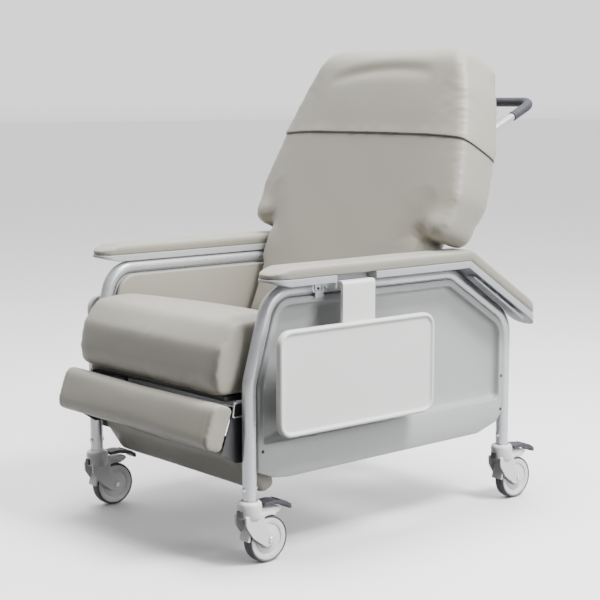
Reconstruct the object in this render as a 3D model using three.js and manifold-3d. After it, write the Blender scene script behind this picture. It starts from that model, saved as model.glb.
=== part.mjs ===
// Patient recliner chair on four braked casters: tubular side frames, moulded side
// panels, upholstered arms with fold-down trays, reclining back and sliding legrest.
// Units are millimetres. +X is the sitter's left, -Y is the front, +Z is up.
// All side-view measures below are (y, z) with y = 0 at the front legs. The whole chair
// is then moved back by Y_CENTRE so that the origin is the centre of the footprint.
import * as THREE from 'three';
import { mergeVertices } from 'three/addons/utils/BufferGeometryUtils.js';
import Module from 'manifold-3d';

const wasm = await Module();
wasm.setup();

// ---- driving dimensions -----------------------------------------------------------
const GAP = 0.4;                 // clearance between touching pieces
const TRACK_HALF = 320;          // leg centre line from the middle plane
const REAR_LEG_Y = 845;          // wheelbase: front legs are at y = 0
const Y_CENTRE = 463.85;           // middle of the overall length

const TUBE_R = 16;
const TUBE_WALL = 2;
const LEG_BOTTOM = 153;
const LEG_BOLT_Z = 178;           // cross bolt that holds the caster stem in the leg
const BEND_STEPS = 4;             // segments in each bend of the side frame
const KNEE = [0, 418];           // where the front leg starts to lean back
const TOP_FRONT = [60, 621];     // centre line corner below the arm nose
const TOP_REAR = [637, 621];     // centre line corner where the arm slopes down
const ARM_SLOPE = THREE.MathUtils.degToRad(32.8);
const REAR_CORNER = [REAR_LEG_Y, 621 - (REAR_LEG_Y - 637) * Math.tan(ARM_SLOPE)];
const SIDE_RAIL = { z0: 335, z1: 365, thickness: 5.5 };

const WHEEL_R = 55;
const TYRE_HALF_WIDTH = 14;
const WHEEL_SIDES = 24;          // a multiple of four, so that a corner stands on the floor
const TRAIL = 45;                // wheel axle behind the swivel axis
const HOUSING_R = 28;
const HOUSING_TOP = 150.4;

const ARM_INNER_X = 305;
const ARM_OUTER_X = 386;
const ARM_NOSE_Y = 25;
const ARM_TAIL_Y = 908;
const ARM_BASE_Z = 637.4;
const ARM_BASE_THICKNESS = 17;
const ARM_PAD_THICKNESS = 25.5;

const TRAY = { y0: 27, y1: 511, z0: 299, z1: 544, x0: 381, x1: 399.6, corner: 34 };
const TRAY_AXIS = { x: 370, z: 630 };
const TRAY_ARM = { y0: 218, y1: 318 };

const SEAT_HALF = 290;
const INNER_PANEL = { x0: 296.3, x1: 303.5 };
const SHELL = { x0: 310, x1: 334, skin: 3 };
const RECESS_FLOOR_Z = 276;      // step between the recess and the lower band

const BACK_REF = [533, 635];     // point on the front face of the back, at arm height
const BACK_LEAN = THREE.MathUtils.degToRad(21);
const BACK_PIVOT = [640, 560];
const BACK_HALF = 297;           // half width of the back between the arms
const BACK_NARROW_HALF = 281;    // half width between the inner panels
const BACK_NARROW_Z = 608;
const SHELL_BOARD = 14;          // thickness of the rear panel of the back

const LEG_PIN = [-26.4, 356];    // legrest pin at the front end of the sliding rails
const RAIL_SLOPE = THREE.MathUtils.degToRad(16);
const LEG_TILT = THREE.MathUtils.degToRad(20);
const FOOT_TILT = THREE.MathUtils.degToRad(33.4);

const GAS_FOOT = [800, 285];     // gas spring pin on the rear cross tube bracket
const GAS_HEAD = [586, 418];     // gas spring pin at the lower end of the back

// ---- materials --------------------------------------------------------------------
function standard(color, roughness, metalness = 0) {
  return new THREE.MeshStandardMaterial({ color, roughness, metalness });
}

const materials = {
  vinyl: () => standard(0xaeaa9f, 0.5),
  frame: () => standard(0xd6d7d8, 0.35, 0.3),
  shell: () => standard(0xb9bbba, 0.45),
  armBase: () => standard(0xa9abad, 0.5),
  tray: () => standard(0xe4e4e2, 0.45),
  caster: () => standard(0xe9e9e8, 0.4),
  rubber: () => standard(0x46464d, 0.8),
  steel: () => standard(0x9b9da0, 0.35, 0.8),
  black: () => standard(0x1d1e20, 0.5, 0.2),
};

// ---- geometry helpers ---------------------------------------------------------------
function bare(geometry) {
  const copy = geometry.index ? geometry.toNonIndexed() : geometry.clone();
  copy.deleteAttribute('normal');
  copy.deleteAttribute('uv');
  return mergeVertices(copy, 1e-4);
}

function signedVolume(geometry) {
  const p = geometry.attributes.position;
  const index = geometry.index.array;
  const a = new THREE.Vector3();
  const b = new THREE.Vector3();
  const c = new THREE.Vector3();
  let volume = 0;
  for (let i = 0; i < index.length; i += 3) {
    a.fromBufferAttribute(p, index[i]);
    b.fromBufferAttribute(p, index[i + 1]);
    c.fromBufferAttribute(p, index[i + 2]);
    volume += a.dot(b.cross(c));
  }
  return volume / 6;
}

function flip(geometry) {
  const index = geometry.index.array;
  for (let i = 0; i < index.length; i += 3) {
    [index[i], index[i + 1]] = [index[i + 1], index[i]];
  }
  return geometry;
}

// Merged vertices and faces that point out, ready for a mesh or a boolean.
function closed(geometry) {
  const merged = bare(geometry);
  return signedVolume(merged) < 0 ? flip(merged) : merged;
}

function toManifold(geometry) {
  const g = closed(geometry);
  return new wasm.Manifold(new wasm.Mesh({
    numProp: 3,
    vertProperties: Float32Array.from(g.attributes.position.array),
    triVerts: Uint32Array.from(g.index.array),
  }));
}

function fromManifold(solid) {
  const mesh = solid.getMesh();
  const g = new THREE.BufferGeometry();
  g.setAttribute('position', new THREE.BufferAttribute(mesh.vertProperties, 3));
  g.setIndex(new THREE.BufferAttribute(mesh.triVerts, 1));
  return g;
}

function join(...pieces) {
  return fromManifold(pieces.map(toManifold).reduce((a, b) => a.add(b)));
}

function cut(piece, ...tools) {
  return fromManifold(tools.map(toManifold).reduce((a, b) => a.subtract(b), toManifold(piece)));
}

function common(a, b) {
  return fromManifold(toManifold(a).intersect(toManifold(b)));
}

function mirrored(geometry) {
  return flip(closed(geometry).scale(-1, 1, 1));
}

// Corners [u, v, radius] become a list of points with each corner rounded by an arc.
function fillet(corners, steps = 4, isClosed = true) {
  const points = [];
  const n = corners.length;
  corners.forEach(([u, v, radius = 0], i) => {
    const here = new THREE.Vector2(u, v);
    const isEnd = !isClosed && (i === 0 || i === n - 1);
    if (!radius || isEnd) {
      points.push(here);
      return;
    }
    const before = new THREE.Vector2(...corners[(i + n - 1) % n]).sub(here).normalize();
    const after = new THREE.Vector2(...corners[(i + 1) % n]).sub(here).normalize();
    const half = before.angleTo(after) / 2;
    const middle = before.clone().add(after).normalize();
    const centre = here.clone().addScaledVector(middle, radius / Math.sin(half));
    const reach = radius / Math.tan(half);
    const start = here.clone().addScaledVector(before, reach).sub(centre);
    const sweep = (Math.PI - 2 * half) * Math.sign(start.cross(
      here.clone().addScaledVector(after, reach).sub(centre)));
    for (let k = 0; k <= steps; k += 1) {
      points.push(start.clone().rotateAround(new THREE.Vector2(), sweep * k / steps).add(centre));
    }
  });
  return points;
}

// A (y, z) outline extruded from x0 to x1.
function sideSolid(points, x0, x1) {
  const shape = new THREE.Shape(points);
  const g = new THREE.ExtrudeGeometry(shape, { depth: x1 - x0, bevelEnabled: false, steps: 1 });
  const toSide = new THREE.Matrix4().makeBasis(
    new THREE.Vector3(0, 1, 0), new THREE.Vector3(0, 0, 1), new THREE.Vector3(1, 0, 0));
  return g.applyMatrix4(toSide).translate(x0, 0, 0);
}

function sideBox(y0, y1, z0, z1, x0, x1) {
  return sideSolid(fillet([[y0, z0], [y1, z0], [y1, z1], [y0, z1]]), x0, x1);
}

// An (x, y) outline extruded from z0 to z1.
function planSolid(points, z0, z1) {
  const shape = new THREE.Shape(points);
  return new THREE.ExtrudeGeometry(shape, { depth: z1 - z0, bevelEnabled: false, steps: 1 })
    .translate(0, 0, z0);
}

function roundBar(radius, x0, x1, y, z, sides = 10) {
  return new THREE.CylinderGeometry(radius, radius, x1 - x0, sides)
    .rotateZ(Math.PI / 2).translate((x0 + x1) / 2, y, z);
}

// A path with its points where the bends need them and none along the straight runs.
class BentPath extends THREE.Curve {
  constructor(corners, toSpace, steps) {
    super();
    this.points = fillet(corners, steps, false).map(toSpace);
  }

  getPointAt(u) {
    return this.points[Math.round(u * (this.points.length - 1))].clone();
  }

  getPoint(u) {
    return this.getPointAt(u);
  }

  getTangentAt(u) {
    const i = Math.round(u * (this.points.length - 1));
    const before = this.points[Math.max(i - 1, 0)];
    const here = this.points[i];
    const after = this.points[Math.min(i + 1, this.points.length - 1)];
    const incoming = here.clone().sub(before).normalize();
    const outgoing = after.clone().sub(here).normalize();
    return incoming.add(outgoing).normalize();
  }
}

function bentTube(corners, toSpace, radius, wall, { steps = BEND_STEPS, sides = 10 } = {}) {
  const path = new BentPath(corners, toSpace, steps);
  const circle = (r) => Array.from({ length: sides }, (_, i) => new THREE.Vector2(r, 0)
    .rotateAround(new THREE.Vector2(), 2 * Math.PI * i / sides));
  const section = new THREE.Shape(circle(radius));
  if (wall) section.holes.push(new THREE.Path(circle(radius - wall).reverse()));
  return new THREE.ExtrudeGeometry(section, { steps: path.points.length - 1, extrudePath: path });
}

// ---- scene helpers ------------------------------------------------------------------
const chair = new THREE.Group();
chair.position.y = -Y_CENTRE;

function add(parent, name, geometry, material, place = [0, 0, 0]) {
  const mesh = new THREE.Mesh(closed(geometry), material());
  mesh.name = name;
  mesh.position.set(...place);
  parent.add(mesh);
  return mesh;
}

// The same piece on the left (+X) and mirrored on the right.
function addPair(parent, name, geometry, material) {
  add(parent, `${name}_left`, geometry, material);
  add(parent, `${name}_right`, mirrored(geometry), material);
}

// The inside of the bent side frame, moved in from the tube's centre line by `inset`.
function frameLoop(inset) {
  const lean = new THREE.Vector2(TOP_FRONT[0] - KNEE[0], TOP_FRONT[1] - KNEE[1]).normalize();
  const top = TOP_FRONT[1] - inset;
  const leanY = (z) => KNEE[0] + inset / lean.y + (z - KNEE[1]) * lean.x / lean.y;
  const slopeY = (z) => TOP_REAR[0]
    + (TOP_REAR[1] - inset / Math.cos(ARM_SLOPE) - z) / Math.tan(ARM_SLOPE);
  const rearY = REAR_LEG_Y - inset;
  const slopeZ = (y) => TOP_REAR[1] - inset / Math.cos(ARM_SLOPE)
    - (y - TOP_REAR[0]) * Math.tan(ARM_SLOPE);
  return {
    frontY: inset,
    kneeZ: KNEE[1] - inset * Math.tan(Math.atan2(lean.x, lean.y) / 2),
    kneeR: 120 - inset,
    leanY,
    top,
    topFront: [leanY(top), top, 70 - inset],
    topRear: [slopeY(top), top, 60 - inset],
    rear: [rearY, slopeZ(rearY), 75 - inset],
    rearY,
  };
}

// ---- side frames and cross members ----------------------------------------------------
function buildSideFrame() {
  const corners = [
    [0, LEG_BOTTOM],
    [...KNEE, 120],
    [...TOP_FRONT, 70],
    [...TOP_REAR, 60],
    [...REAR_CORNER, 75],
    [REAR_LEG_Y, LEG_BOTTOM],
  ];
  const tube = bentTube(corners, (p) => new THREE.Vector3(TRACK_HALF, p.x, p.y), TUBE_R, TUBE_WALL);
  const railX = TRACK_HALF - TUBE_R;
  const rail = sideBox(0, REAR_LEG_Y, SIDE_RAIL.z0, SIDE_RAIL.z1, railX, railX + SIDE_RAIL.thickness);
  const boltHoles = [0, REAR_LEG_Y].map((y) => new THREE.CylinderGeometry(3.7, 3.7, 60, 8)
    .translate(TRACK_HALF, y, LEG_BOLT_Z));
  addPair(chair, 'side_frame', cut(join(tube, rail), ...boltHoles), materials.frame);
}

function buildCrossTubes() {
  const end = TRACK_HALF - TUBE_R - GAP;
  const tubeAt = (y, z, radius) => cut(
    roundBar(radius, -end, end, y, z), roundBar(radius - TUBE_WALL, -end - 1, end + 1, y, z));
  add(chair, 'seat_front_cross_tube', tubeAt(150, 355, 12), materials.black);
  add(chair, 'seat_rear_cross_tube', tubeAt(395, 346, 12), materials.black);
  const ears = [-1, 1].map((side) => sideSolid(
    fillet([[788, 273, 6], [812, 273, 6], [REAR_LEG_Y - 4, 290], [REAR_LEG_Y - 4, 306], [788, 297, 8]]),
    side * 14 - 3, side * 14 + 3));
  const pin = roundBar(4, -19, 19, ...GAS_FOOT, 10);
  const rearTube = cut(join(roundBar(14, -end, end, REAR_LEG_Y, 298), ...ears, pin),
    roundBar(12, -end - 1, end + 1, REAR_LEG_Y, 298));
  add(chair, 'rear_cross_tube', rearTube, materials.frame);
}

// ---- side panels --------------------------------------------------------------------
function buildSidePanels() {
  const outer = frameLoop(TUBE_R + GAP);
  const outline = fillet([
    [outer.frontY, 214], [62, 196, 20], [105, 191], [735, 197, 30], [806, 218, 30], [outer.rearY, 240],
    outer.rear, outer.topRear, outer.topFront, [outer.frontY, outer.kneeZ, outer.kneeR],
  ], BEND_STEPS);
  const inner = frameLoop(TUBE_R + GAP + 13);
  const recess = fillet([
    [inner.frontY, RECESS_FLOOR_Z, 4], [inner.rearY, RECESS_FLOOR_Z, 14],
    inner.rear, inner.topRear, inner.topFront, [inner.frontY, inner.kneeZ, inner.kneeR],
  ], BEND_STEPS);
  const lowerHollow = fillet([
    [26, 222], [66, 203], [106, 198], [734, 204], [800, 224], [820, 244], [820, 268], [26, 268],
  ]);
  const shell = cut(
    sideSolid(outline, SHELL.x0, SHELL.x1),
    sideSolid(recess, SHELL.x0 + SHELL.skin, SHELL.x1 + 1),
    sideSolid(lowerHollow, SHELL.x0 - 1, SHELL.x1 - SHELL.skin));
  addPair(chair, 'side_panel', shell, materials.shell);

  const pad = frameLoop(TUBE_R + 2);
  const padOutline = fillet([
    [pad.frontY + 4, 400], [600, 400], [600, pad.top, 12], pad.topFront,
    [pad.frontY + 4, pad.kneeZ, pad.kneeR],
  ], BEND_STEPS);
  addPair(chair, 'inner_panel', sideSolid(padOutline, INNER_PANEL.x0, INNER_PANEL.x1), materials.vinyl);
}

// ---- armrests -----------------------------------------------------------------------
function armLine(z, bendY) {
  return (y) => z - Math.max(0, y - bendY) * Math.tan(ARM_SLOPE);
}

function armPlan(inset) {
  const x0 = ARM_INNER_X + inset;
  const x1 = ARM_OUTER_X - inset;
  const y0 = ARM_NOSE_Y + inset;
  const y1 = ARM_TAIL_Y - inset;
  return fillet([[x0, y0, 30], [x1, y0, 38], [x1, y1, 36], [x0, y1, 30]], 5);
}

function buildArmrests() {
  const bottom = armLine(ARM_BASE_Z, 643.5);
  const baseTop = armLine(ARM_BASE_Z + ARM_BASE_THICKNESS, 648.5);
  const padBottom = armLine(ARM_BASE_Z + ARM_BASE_THICKNESS + GAP, 648.5);
  const padTop = armLine(ARM_BASE_Z + ARM_BASE_THICKNESS + ARM_PAD_THICKNESS, 656);
  const y0 = ARM_NOSE_Y;
  const y1 = ARM_TAIL_Y;
  const baseSide = fillet([
    [y0 - 1, 649], [y0 + 45, ARM_BASE_Z], [643.5, ARM_BASE_Z], [y1 + 1, bottom(y1 + 1)],
    [y1 + 1, baseTop(y1 + 1)], [648.5, baseTop(0)], [y0 - 1, baseTop(0)],
  ]);
  const hingeNotch = new THREE.BoxGeometry(60, 122, 40).translate(354 + 30, 268, 645);
  const base = cut(
    common(sideSolid(baseSide, ARM_INNER_X - 5, ARM_OUTER_X + 5), planSolid(armPlan(0), 440, 700)),
    hingeNotch);
  addPair(chair, 'armrest_base', base, materials.armBase);

  const padSide = fillet([
    [y0 - 1, padBottom(0)], [648.5, padBottom(0)], [y1 + 1, padBottom(y1 + 1)],
    [y1 + 1, padTop(y1 + 1) - 12], [y1 - 14, padTop(y1 - 14)], [656, padTop(0)],
    [y0 + 48, padTop(0)], [y0 - 1, padTop(0) - 16],
  ]);
  const pad = common(sideSolid(padSide, ARM_INNER_X - 5, ARM_OUTER_X + 5), planSolid(armPlan(1), 440, 720));
  addPair(chair, 'armrest_pad', pad, materials.vinyl);
}

// ---- fold-down trays ------------------------------------------------------------------
function buildTrays() {
  const { x, z } = TRAY_AXIS;
  const outline = (inset) => fillet([
    [TRAY.y0 + inset, TRAY.z0 + inset, TRAY.corner - inset],
    [TRAY.y1 - inset, TRAY.z0 + inset, TRAY.corner - inset],
    [TRAY.y1 - inset, TRAY.z1 - inset, TRAY.corner - inset],
    [TRAY.y0 + inset, TRAY.z1 - inset, TRAY.corner - inset],
  ], 4);
  const alongY = (radius, y0, y1) => new THREE.CylinderGeometry(radius, radius, y1 - y0, 8)
    .translate(x, (y0 + y1) / 2, z);
  const panel = cut(
    sideSolid(outline(0), TRAY.x0, TRAY.x1),
    sideSolid(outline(11), TRAY.x1 - 5, TRAY.x1 + 1),
    sideSolid(outline(5), TRAY.x0 - 1, TRAY.x0 + 7.5));
  const arm = sideBox(TRAY_ARM.y0, TRAY_ARM.y1, 525, 636, 384, 392);
  const bridge = sideBox(TRAY_ARM.y0, TRAY_ARM.y1, 624, 636, x, 390);
  const knuckle = alongY(8, TRAY_ARM.y0, TRAY_ARM.y1);
  const bore = alongY(4.8, TRAY_ARM.y0 - 2, TRAY_ARM.y1 + 2);
  addPair(chair, 'tray', cut(join(panel, arm, bridge, knuckle), bore), materials.tray);

  const plate = sideBox(176, 327, 612, 636.4, 337, 345);
  const ears = [[210, 217.2], [318.8, 326]].map(([y0, y1]) => sideBox(y0, y1, 622, 636.4, 344, 377));
  const pin = alongY(4.2, 211, 325);
  const catchTab = sideBox(180, 204, 600, 618, 337, 341);
  addPair(chair, 'tray_bracket', join(plate, ...ears, pin, catchTab), materials.steel);
}

// ---- seat ---------------------------------------------------------------------------
function buildSeat() {
  const cushion = fillet([
    [-40, 390], [430, 372.5], [432, 487, 18], [70, 560, 60], [-14, 556, 40], [-58, 500, 40],
    [-70, 440, 20], [-66, 390, 22],
  ], 3);
  add(chair, 'seat_cushion', sideSolid(cushion, -SEAT_HALF, SEAT_HALF), materials.vinyl);
  const pan = fillet([[-36, 376.5], [425, 360], [425, 371.8], [-36, 389]]);
  add(chair, 'seat_pan', sideSolid(pan, -278, 278), materials.black);
}

// ---- back: everything is drawn in the leaning frame (x, depth, height) ------------------
const BACK_REAR = [
  [106, -186], [106, 60], [113, 150], [123, 240], [132, 345], [134, 568],
];

function backLocal([y, z]) {
  const dy = y - BACK_REF[0];
  const dz = z - BACK_REF[1];
  return [
    dy * Math.cos(BACK_LEAN) - dz * Math.sin(BACK_LEAN),
    dy * Math.sin(BACK_LEAN) + dz * Math.cos(BACK_LEAN),
  ];
}

// Front-view outline of the back, narrow between the arms and wide at the wings.
function backOutline(inset) {
  const right = [
    [BACK_HALF, -190], [BACK_HALF, 84, 20], [372, 92, 34], [379, 200, 60],
    [344, 350, 120], [300, 480, 90], [248, 590, 46],
  ].map(([x, h, r]) => [x - inset, h, r]);
  const left = right.map(([x, h, r]) => [-x, h, r]).reverse();
  const corners = [...right, [200, 603 - inset, 60], [-200, 603 - inset, 60], ...left];
  return fillet(corners, 2);
}

function buildBack() {
  const back = new THREE.Group();
  back.position.set(0, ...BACK_REF);
  back.rotation.x = -BACK_LEAN;
  chair.add(back);

  const frontal = (inset, d0, d1) => {
    const g = planSolid(backOutline(inset), -d1, -d0);
    return g.applyMatrix4(new THREE.Matrix4().makeBasis(
      new THREE.Vector3(1, 0, 0), new THREE.Vector3(0, 0, 1), new THREE.Vector3(0, -1, 0)));
  };
  const wingsFloor = sideSolid(fillet([
    [-20, -400], [220, -400], [220, 160], [160, 134], [126, 104], [70, 86], [-20, 86],
  ]), BACK_HALF + 1, 400);
  // Below arm height the back narrows to pass between the inner panels.
  const levelAt = (d) => (BACK_NARROW_Z - BACK_REF[1] + d * Math.sin(BACK_LEAN)) / Math.cos(BACK_LEAN);
  const hipFloor = sideSolid(fillet([
    [-20, -400], [260, -400], [260, levelAt(260)], [-20, levelAt(-20)],
  ]), BACK_NARROW_HALF, 400);
  const floors = [wingsFloor, mirrored(wingsFloor), hipFloor, mirrored(hipFloor)];
  const frontFace = [[0, -186, 12], [0, 560, 60], [34, 602, 30]];
  const rearInside = BACK_REAR.map(([d, h]) => [d - SHELL_BOARD - GAP, h]).reverse();
  const padSide = fillet([...frontFace, [92, 590, 14], ...rearInside], 3);
  const padBody = cut(common(sideSolid(padSide, -400, 400), frontal(0, -10, 200)), ...floors);

  // The head cover is a sleeve over the top third of the pad.
  const seam = [[-5, 344], [170, 318], [170, 700], [-5, 700]];
  const aboveSeam = sideSolid(fillet(seam), -420, 420);
  const belowSeam = sideSolid(fillet([[-5, -300], [170, -300], [170, 317], [-5, 343]]), -420, 420);
  add(back, 'back_cushion', common(padBody, belowSeam), materials.vinyl);
  add(back, 'head_cover', common(padBody, aboveSeam), materials.vinyl);

  // Rear panel with the pivot cheeks and the lower gas spring lug.
  const boardSide = [
    ...BACK_REAR, ...BACK_REAR.map(([d, h]) => [d - SHELL_BOARD, h]).reverse(),
  ].map(([d, h]) => new THREE.Vector2(d, h));
  const board = cut(common(sideSolid(boardSide, -400, 400), frontal(6, 0, 220)), ...floors);
  const [pivotD, pivotH] = backLocal(BACK_PIVOT);
  const cheek = sideSolid(fillet([
    [103, pivotH - 40], [112, pivotH - 40], [pivotD + 17, pivotH - 10, 14],
    [pivotD + 17, pivotH + 15, 14], [112, pivotH + 48], [104, pivotH + 48],
  ]), 288.5, 294);
  const cheekWeb = sideSolid(fillet([
    [103, pivotH - 40], [109, pivotH - 40], [112, pivotH + 48], [104, pivotH + 48],
  ]), 270, 292);
  const bore = roundBar(7.5, 280, 300, pivotD, pivotH);
  const [headD, headH] = backLocal(GAS_HEAD);
  const lugs = [-1, 1].map((side) => sideSolid(fillet([
    [94, -170], [104, -170], [headD + 12, headH + 6, 6], [headD + 12, headH - 12, 8],
    [headD - 12, headH - 12, 8],
  ]), side * 16 - 3, side * 16 + 3));
  const lugHoles = roundBar(4.4, -30, 30, headD, headH, 10);
  const solid = join(board, cheek, mirrored(cheek), cheekWeb, mirrored(cheekWeb), ...lugs);
  const bores = [bore, mirrored(bore), lugHoles];
  add(back, 'back_panel', cut(solid, ...bores), materials.vinyl);

  buildPushHandle(back);
}

function buildPushHandle(back) {
  const start = [90, 320];
  const bar = [322, 559];
  const half = 240;
  const climb = new THREE.Vector2(bar[0] - start[0], bar[1] - start[1]);
  const length = climb.length();
  climb.normalize();
  const toSpace = (p) => new THREE.Vector3(p.x, start[0] + climb.x * p.y, start[1] + climb.y * p.y);
  const corners = [[-half, 0], [-half, length, 34], [half, length, 34], [half, 0]];
  const tube = bentTube(corners, toSpace, 9.5, 1.5, { steps: 4, sides: 8 });
  const everythingInside = sideSolid([
    ...BACK_REAR.map(([d, h]) => [d + GAP, h]), [0, 568], [0, -186],
  ].map(([d, h]) => new THREE.Vector2(d, h)), -400, 400);
  add(back, 'push_handle', cut(tube, everythingInside), materials.frame);
  const sleeveEnd = half - 34;
  const sleeve = cut(
    roundBar(12.5, -sleeveEnd, sleeveEnd, ...bar),
    roundBar(10.4, -sleeveEnd - 1, sleeveEnd + 1, ...bar));
  add(back, 'handle_grip', sleeve, materials.rubber);
}

function buildReclinePivots() {
  const [y, z] = BACK_PIVOT;
  const plate = sideSolid(fillet([
    [y - 22, z - 18, 18], [y + 60, z - 30, 14], [y + 128, z - 22, 14], [y + 96, z + 20, 10],
    [y + 12, z + 34, 16], [y - 22, z + 16, 14],
  ]), 297, 303.6);
  const pin = join(roundBar(7, 284.5, 299, y, z), roundBar(11, 283, 286.6, y, z));
  addPair(chair, 'recline_bracket', join(plate, pin), materials.black);
}

// ---- gas spring ---------------------------------------------------------------------
function buildGasSpring() {
  const spring = new THREE.Group();
  const dy = GAS_HEAD[0] - GAS_FOOT[0];
  const dz = GAS_HEAD[1] - GAS_FOOT[1];
  const length = Math.hypot(dy, dz);
  spring.position.set(0, ...GAS_FOOT);
  spring.rotation.x = Math.atan2(dz, dy);
  chair.add(spring);
  const along = (radius, y0, y1, sides = 14) => new THREE.CylinderGeometry(radius, radius, y1 - y0, sides)
    .translate(0, (y0 + y1) / 2, 0);
  const eye = (y, radius) => roundBar(radius, -8, 8, y, 0);
  const footHole = roundBar(4.4, -12, 12, 0, 0, 10);
  const barrel = cut(
    join(along(13, 28, 165), along(6, 4, 34), eye(0, 10)), footHole, along(5.4, 50, 170));
  add(spring, 'gas_spring_cylinder', barrel, materials.black);
  const rod = cut(join(along(5, 62, length - 4), eye(length, 11)), roundBar(7.5, -12, 12, length, 0));
  add(spring, 'gas_spring_rod', rod, materials.steel);
}

// ---- legrest ------------------------------------------------------------------------
function roundedPad(y0, y1, z0, z1, radius, half) {
  const outline = fillet([
    [y0, z0, radius], [y1, z0, radius / 2], [y1, z1, radius / 2], [y0, z1, radius],
  ], 4);
  return sideSolid(outline, -half, half);
}

function buildLegrest() {
  const rails = new THREE.Group();
  rails.position.set(0, ...LEG_PIN);
  rails.rotation.x = -RAIL_SLOPE;
  chair.add(rails);
  const fixedRail = sideBox(75, 430, -11, 11, 241, 249.5);
  const hangers = [[181, 52], [436, 120]].map(([y, reach]) => sideBox(y - 14, y + 2, 0, reach, 241, 249.5));
  const saddles = [[150, 355], [395, 346]].map(([y, z]) => {
    const dy = y - LEG_PIN[0];
    const dz = z - LEG_PIN[1];
    const c = Math.cos(RAIL_SLOPE);
    const s = Math.sin(RAIL_SLOPE);
    return roundBar(12 + 2 * GAP, 230, 260, dy * c - dz * s, dy * s + dz * c);
  });
  addPair(rails, 'legrest_fixed_rail', cut(join(fixedRail, ...hangers), ...saddles), materials.black);

  const slider = sideBox(-6.5, 256, -8, 8, 250, 258);
  const tab = sideBox(234, 250, -28, 4, 250, 258);
  const pin = roundBar(5, 252, 277, 0, 0);
  const half = join(slider, tab, pin);
  const crossBar = roundBar(6, -254, 254, 242, -21);
  add(rails, 'legrest_carriage', join(half, mirrored(half), crossBar), materials.black);

  const leg = new THREE.Group();
  leg.position.set(0, ...LEG_PIN);
  leg.rotation.x = -LEG_TILT;
  chair.add(leg);
  add(leg, 'legrest_pad', roundedPad(-68.5, -14.5, -99.9, 8.1, 22, 314), materials.vinyl);
  const legBoard = sideBox(-14, -8, -92, 2, -290, 290);
  const ear = cut(join(sideBox(-12, 0, -24, 10, 262, 266), roundBar(10, 262, 266, 0, 0)),
    roundBar(5.4, 255, 275, 0, 0));
  const railNotch = roundBar(11.5, 247, 261.6, 0, 0);
  const pinHole = roundBar(5.4, 255, 285, 0, 0);
  add(leg, 'legrest_frame', cut(join(legBoard, ear, mirrored(ear)),
    pinHole, mirrored(pinHole), railNotch, mirrored(railNotch)), materials.black);

  const foot = new THREE.Group();
  foot.position.set(0, ...LEG_PIN);
  foot.rotation.x = FOOT_TILT;
  chair.add(foot);
  add(foot, 'foot_pad', roundedPad(-43.3, 6.4, -229.1, -109.1, 24, 290), materials.vinyl);
  const footBoard = sideBox(6.9, 12.9, -219, -115, -270, 270);
  const arm = cut(sideSolid(fillet([
    [-7.3, 7.3, 7.2], [7.3, 7.3, 7.2], [21, -95], [21, -145], [8, -145], [8, -101], [-7.3, -4, 5],
  ]), 267, 271), roundBar(5.4, 260, 280, 0, 0));
  add(foot, 'foot_pad_frame', join(footBoard, arm, mirrored(arm)), materials.black);
}

// ---- casters ------------------------------------------------------------------------
const FORK_SIDE = [
  [-27, 118], [-24, 100], [-12, 78], [8, 58], [30, 44], [45, 40], [57, 45], [60, 57],
  [52, 70], [38, 82], [28, 98], [24, 118],
];

function turned(profile, segments) {
  const points = profile.map(([r, a]) => new THREE.Vector2(r, a));
  return closed(new THREE.LatheGeometry(points, segments));
}

// The lathe's axis turned to +Z, and to +X.
const aboutZ = (profile, segments) => turned(profile, segments).rotateX(Math.PI / 2);
const aboutX = (profile, segments) => turned(profile, segments).rotateZ(-Math.PI / 2);

function stemGeometry() {
  const bottom = HOUSING_TOP + GAP;
  const plug = aboutZ([
    [0, 124], [6.6, 124], [6.6, bottom], [19, bottom], [19, LEG_BOTTOM - GAP],
    [TUBE_R - TUBE_WALL - 1, LEG_BOTTOM - GAP], [TUBE_R - TUBE_WALL - 1, 206], [0, 206],
  ], 10);
  const bolt = new THREE.CylinderGeometry(3, 3, 38, 8).translate(0, 0, LEG_BOLT_Z);
  const heads = [-1, 1].map((side) => new THREE.CylinderGeometry(5.5, 5.5, 3.6, 8)
    .translate(0, side * (TUBE_R + GAP + 1.8), LEG_BOLT_Z));
  return join(plug, bolt, ...heads);
}

function housingGeometry() {
  const cap = aboutZ([
    [0, 113], [HOUSING_R, 113], [HOUSING_R, 143], [HOUSING_R - 3, HOUSING_TOP], [0, HOUSING_TOP],
  ], 16);
  const outline = FORK_SIDE.map(([y, z]) => new THREE.Vector2(y, z));
  const inside = TYRE_HALF_WIDTH + 1.5;
  const arms = [sideSolid(outline, inside, inside + 6.5), sideSolid(outline, -inside - 6.5, -inside)];
  const lug = sideSolid(fillet([[18, 113], [72, 113], [82, 118], [80, 125], [18, 131]]), -9, 9);
  const spindleBore = new THREE.CylinderGeometry(7.2, 7.2, 60, 10).rotateX(Math.PI / 2)
    .translate(0, 0, 121 + 30);
  const axleBore = roundBar(4.4, -40, 40, TRAIL, WHEEL_R, 8);
  return cut(join(cap, ...arms, lug), spindleBore, axleBore);
}

function hubGeometry() {
  const rim = WHEEL_R - 6;
  return aboutX([
    [4.5, -12], [rim, -13], [rim, 13], [4.5, 12], [4.5, -12],
  ], WHEEL_SIDES);
}

function tyreGeometry() {
  const rim = WHEEL_R - 6 + GAP;
  const w = TYRE_HALF_WIDTH;
  return aboutX([
    [rim, -w + 1], [WHEEL_R - 2.5, -w], [WHEEL_R, -w + 5], [WHEEL_R, w - 5], [WHEEL_R - 2.5, w],
    [rim, w - 1], [rim, -w + 1],
  ], WHEEL_SIDES);
}

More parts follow.
